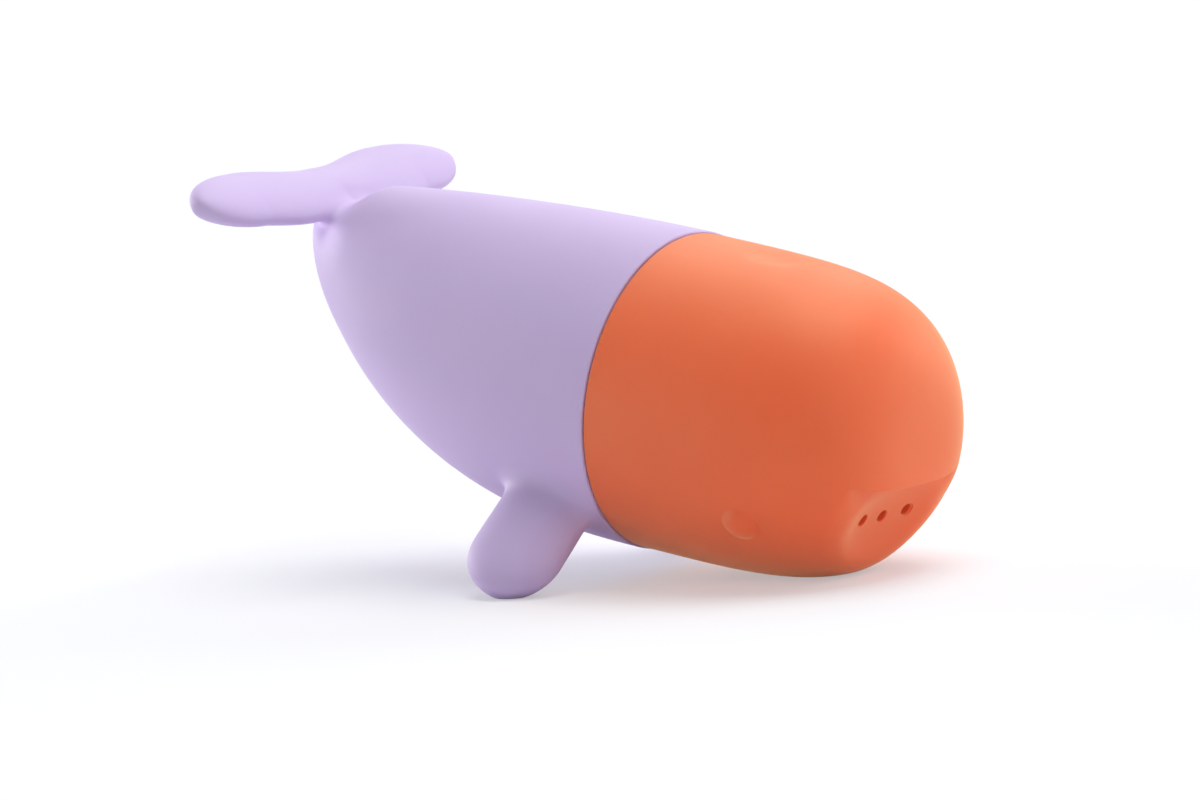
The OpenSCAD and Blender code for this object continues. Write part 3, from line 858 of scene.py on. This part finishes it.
def soft_touch_group():
    """Soft-touch skin: faint cloudiness of the colour, a finer grain and slightly uneven roughness"""
    tree = bpy.data.node_groups.new("soft_touch", "ShaderNodeTree")
    group_value(tree, "Colour", "NodeSocketColor", True)
    group_value(tree, "Deep colour", "NodeSocketColor", True)
    group_value(tree, "Cloud size", "NodeSocketFloat", True, 60)
    group_value(tree, "Grain size", "NodeSocketFloat", True, 3000)
    group_value(tree, "Colour", "NodeSocketColor", False)
    group_value(tree, "Roughness", "NodeSocketFloat", False)
    group_value(tree, "Height", "NodeSocketFloat", False)
    nodes = tree.nodes
    inlet, outlet = nodes.new("NodeGroupInput"), nodes.new("NodeGroupOutput")
    coords = nodes.new("ShaderNodeTexCoord")
    cloud = nodes.new("ShaderNodeTexNoise")
    cloud.inputs["Detail"].default_value = 3
    grain = nodes.new("ShaderNodeTexNoise")
    grain.inputs["Detail"].default_value = 2
    for noise, size in ((cloud, "Cloud size"), (grain, "Grain size")):
        link(tree, coords, "Object", noise, "Vector")
        link(tree, inlet, size, noise, "Scale")
    blend = nodes.new("ShaderNodeMix")
    blend.data_type = "RGBA"
    spread = nodes.new("ShaderNodeMapRange")
    spread.inputs["From Min"].default_value = 0.35
    spread.inputs["From Max"].default_value = 0.65
    spread.inputs["To Max"].default_value = 0.5
    link(tree, cloud, "Fac", spread, "Value")
    link(tree, spread, "Result", blend, "Factor")
    tree.links.new(inlet.outputs["Colour"], blend.inputs[6])
    tree.links.new(inlet.outputs["Deep colour"], blend.inputs[7])
    tree.links.new(blend.outputs[2], outlet.inputs["Colour"])
    uneven = nodes.new("ShaderNodeMapRange")
    uneven.inputs["To Min"].default_value = 0.5
    uneven.inputs["To Max"].default_value = 0.66
    link(tree, cloud, "Fac", uneven, "Value")
    link(tree, uneven, "Result", outlet, "Roughness")
    link(tree, grain, "Fac", outlet, "Height")
    return tree


def soft_silicone(name, colour, deep_colour, gloss, gloss_tint, sheen, sheen_tint, glow=0):
    """Matte silicone. Gloss is its specular level, sheen its bloom at grazing angles, each with a tint, and
    glow is how much light goes in below the skin"""
    finish = bpy.data.materials.new(name)
    finish.use_nodes = True
    tree = finish.node_tree
    shader = tree.nodes["Principled BSDF"]
    skin = tree.nodes.new("ShaderNodeGroup")
    skin.node_tree = SOFT_TOUCH
    skin.inputs["Colour"].default_value = (*colour, 1)
    skin.inputs["Deep colour"].default_value = (*deep_colour, 1)
    bump = tree.nodes.new("ShaderNodeBump")
    bump.inputs["Strength"].default_value = 0.25
    bump.inputs["Distance"].default_value = 0.02*MM
    link(tree, skin, "Colour", shader, "Base Color")
    link(tree, skin, "Roughness", shader, "Roughness")
    link(tree, skin, "Height", bump, "Height")
    link(tree, bump, "Normal", shader, "Normal")
    shader.inputs["Specular IOR Level"].default_value = gloss
    shader.inputs["Specular Tint"].default_value = (*gloss_tint, 1)
    shader.inputs["Sheen Weight"].default_value = sheen
    shader.inputs["Sheen Roughness"].default_value = 0.5
    shader.inputs["Sheen Tint"].default_value = (*sheen_tint, 1)
    shader.inputs["Subsurface Weight"].default_value = glow
    shader.inputs["Subsurface Radius"].default_value = (1, 0.3, 0.15)
    shader.inputs["Subsurface Scale"].default_value = 3*MM
    return finish


def plastic(name, colour, deep_colour, roughness):
    finish = soft_silicone(name, colour, deep_colour, 0.5, (1, 1, 1), 0, (1, 1, 1))
    shader = finish.node_tree.nodes["Principled BSDF"]
    for bond in list(shader.inputs["Roughness"].links):
        finish.node_tree.links.remove(bond)
    shader.inputs["Roughness"].default_value = roughness
    return finish


SOFT_TOUCH = soft_touch_group()
lilac = soft_silicone(
    "soft_lilac", (0.66, 0.53, 0.83), (0.63, 0.5, 0.81), gloss=0.2, gloss_tint=(1, 1, 1), sheen=0.1,
    sheen_tint=(0.95, 0.9, 1)
)
orange = soft_silicone(
    "soft_orange", (0.92, 0.12, 0.04), (0.9, 0.11, 0.035), gloss=1, gloss_tint=(1, 0.9, 0.5), sheen=0.6,
    sheen_tint=(1, 0.7, 0.35), glow=0.4
)
purple = plastic("satin_purple", (0.18, 0.08, 0.32), (0.16, 0.07, 0.3), 0.35)
ivory = plastic("satin_ivory", (0.84, 0.78, 0.68), (0.82, 0.76, 0.66), 0.35)
seal_rubber = plastic("black_rubber", (0.05, 0.05, 0.06), (0.04, 0.04, 0.05), 0.45)
squeaker_plastic = plastic("natural_plastic", (0.82, 0.82, 0.78), (0.8, 0.8, 0.76), 0.3)
reed_film = plastic("red_film", (0.62, 0.08, 0.06), (0.6, 0.07, 0.05), 0.3)


def dress(piece, finish):
    piece.data.materials.clear()
    piece.data.materials.append(finish)


def fitted(piece, body, node, finish):
    """Puts a finished piece in the place of its plain solid"""
    dress(piece, finish)
    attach(piece, body)
    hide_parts(node)


fitted(tail_shell(), "tail_half", "body_shell", lilac)
fitted(socket_ring(), "tail_half", "socket_ring", purple)
fitted(neck_seal(), "seal", "neck_seal", seal_rubber)
fitted(spigot_ring(), "head_half", "spigot_ring", ivory)
fitted(head_shell(), "head_half", "head_shell", orange)
fitted(squeaker_barrel(), "head_half", "squeaker_barrel", squeaker_plastic)
fitted(squeaker_cap(), "head_half", "squeaker_cap", squeaker_plastic)

# The reed and its two half plugs are already as the construction shapes them
kept_nodes = (("reed_bed", squeaker_plastic), ("reed_wedge", squeaker_plastic), ("squeaker_reed", reed_film))
for node, finish in kept_nodes:
    for slot in frame["nodes"][node].material_slots:
        slot.material = finish


# Floor, light and camera

def ray_share(tree):
    """1 for rays from the camera, a mirror or a lens, and 0 for the light that falls on the toy"""
    path = tree.nodes.new("ShaderNodeLightPath")
    either = path.outputs["Is Camera Ray"]
    for ray in ("Is Glossy Ray", "Is Transmission Ray"):
        larger = tree.nodes.new("ShaderNodeMath")
        larger.operation = "MAXIMUM"
        tree.links.new(either, larger.inputs[0])
        tree.links.new(path.outputs[ray], larger.inputs[1])
        either = larger.outputs[0]
    return either


def floor():
    """A pale floor that keeps the toy's shadow, and is seen lighter than the light that it sends back"""
    floor_half = 6
    below_toy = 0.02*MM
    tone_for_light = (0.85, 0.84, 0.87, 1)
    tone_seen = (0.93, 0.95, 1, 1)
    white_share = 0.4
    bm = bmesh.new()
    bmesh.ops.create_grid(bm, x_segments=2, y_segments=2, size=floor_half)
    bmesh.ops.translate(bm, verts=bm.verts, vec=(0, 0, -below_toy))
    piece = made("floor", bm)
    finish = bpy.data.materials.new("floor_white")
    finish.use_nodes = True
    tree = finish.node_tree
    tree.nodes.clear()
    outlet = tree.nodes.new("ShaderNodeOutputMaterial")
    seen = ray_share(tree)
    tone = tree.nodes.new("ShaderNodeMix")
    tone.data_type = "RGBA"
    tone.inputs[6].default_value = tone_for_light
    tone.inputs[7].default_value = tone_seen
    tree.links.new(seen, tone.inputs["Factor"])
    matte = tree.nodes.new("ShaderNodeBsdfDiffuse")
    tree.links.new(tone.outputs[2], matte.inputs["Color"])
    white = tree.nodes.new("ShaderNodeEmission")
    mix = tree.nodes.new("ShaderNodeMixShader")
    share = tree.nodes.new("ShaderNodeMath")
    share.operation = "MULTIPLY"
    share.inputs[1].default_value = white_share
    tree.links.new(seen, share.inputs[0])
    tree.links.new(share.outputs[0], mix.inputs[0])
    tree.links.new(matte.outputs[0], mix.inputs[1])
    tree.links.new(white.outputs[0], mix.inputs[2])
    tree.links.new(mix.outputs[0], outlet.inputs["Surface"])
    dress(piece, finish)


def world():
    """Faint light from all round, and white where the camera sees past the floor"""
    studio = bpy.data.worlds.new("studio")
    bpy.context.scene.world = studio
    studio.use_nodes = True
    tree = studio.node_tree
    tree.nodes.clear()
    outlet = tree.nodes.new("ShaderNodeOutputWorld")
    seen = tree.nodes.new("ShaderNodeBackground")
    light = tree.nodes.new("ShaderNodeBackground")
    light.inputs["Strength"].default_value = 0.05
    seen.inputs["Color"].default_value = (1, 1, 1, 1)
    light.inputs["Color"].default_value = (1, 1, 1, 1)
    mix = tree.nodes.new("ShaderNodeMixShader")
    tree.links.new(ray_share(tree), mix.inputs[0])
    tree.links.new(light.outputs[0], mix.inputs[1])
    tree.links.new(seen.outputs[0], mix.inputs[2])
    tree.links.new(mix.outputs[0], outlet.inputs["Surface"])


def camera():
    """The photograph's view: told in the whale's frame, then tipped with it"""
    view_round = math.radians(36.77)
    view_rise = math.radians(13.165)
    view_roll = math.radians(3.767)
    view_far = 1.427
    aim = (-13.92*MM, -1.62*MM)
    right = Vector((math.cos(view_round), math.sin(view_round), 0))
    back = Vector((
        math.sin(view_round)*math.cos(view_rise),
        -math.cos(view_round)*math.cos(view_rise),
        math.sin(view_rise)
    ))
    top = back.cross(right)
    across = right*math.cos(view_roll) + top*math.sin(view_roll)
    upright = top*math.cos(view_roll) - right*math.sin(view_roll)
    eye = bpy.data.cameras.new("camera")
    eye.sensor_width = 36
    eye.lens = 248
    eye.clip_start = 0.05
    eye.clip_end = 30
    holder = bpy.data.objects.new("camera", eye)
    bpy.context.scene.collection.objects.link(holder)
    place = across*aim[0] + upright*aim[1] + back*view_far
    holder.matrix_world = WHALE @ (
        Matrix.Translation(place) @ Matrix((across, upright, back)).transposed().to_4x4()
    )
    bpy.context.scene.camera = holder
    return holder.matrix_world


def softbox(name, view, side, front, rise, spread, strength):
    """A wide, distant lamp. Its place is told as the camera sees it: to the right side, in front and above,
    and its spread in degrees"""
    lamp = bpy.data.lights.new(name, "SUN")
    lamp.angle = math.radians(spread)
    lamp.energy = strength
    box = bpy.data.objects.new(name, lamp)
    bpy.context.scene.collection.objects.link(box)
    across, towards = (Vector((view.col[i].x, view.col[i].y, 0)).normalized() for i in (0, 2))
    aim = across*side + towards*front + Vector((0, 0, rise))
    box.rotation_euler = aim.to_track_quat("Z", "Y").to_euler()


floor()
world()
view = camera()
softbox("top_softbox", view, side=0.2, front=-0.1, rise=1, spread=50, strength=2.1)
softbox("back_softbox", view, side=0.2, front=-0.8, rise=0.7, spread=35, strength=0.6)
softbox("left_back_softbox", view, side=-0.75, front=-0.7, rise=0.12, spread=25, strength=1.7)
softbox("right_back_softbox", view, side=1, front=-0.4, rise=0.35, spread=40, strength=0.9)
softbox("right_front_softbox", view, side=0.5, front=0.8, rise=0.5, spread=60, strength=0.6)
softbox("left_softbox", view, side=-1, front=0.05, rise=0.06, spread=12, strength=0.5)
bpy.context.scene.view_settings.view_transform = "Standard"
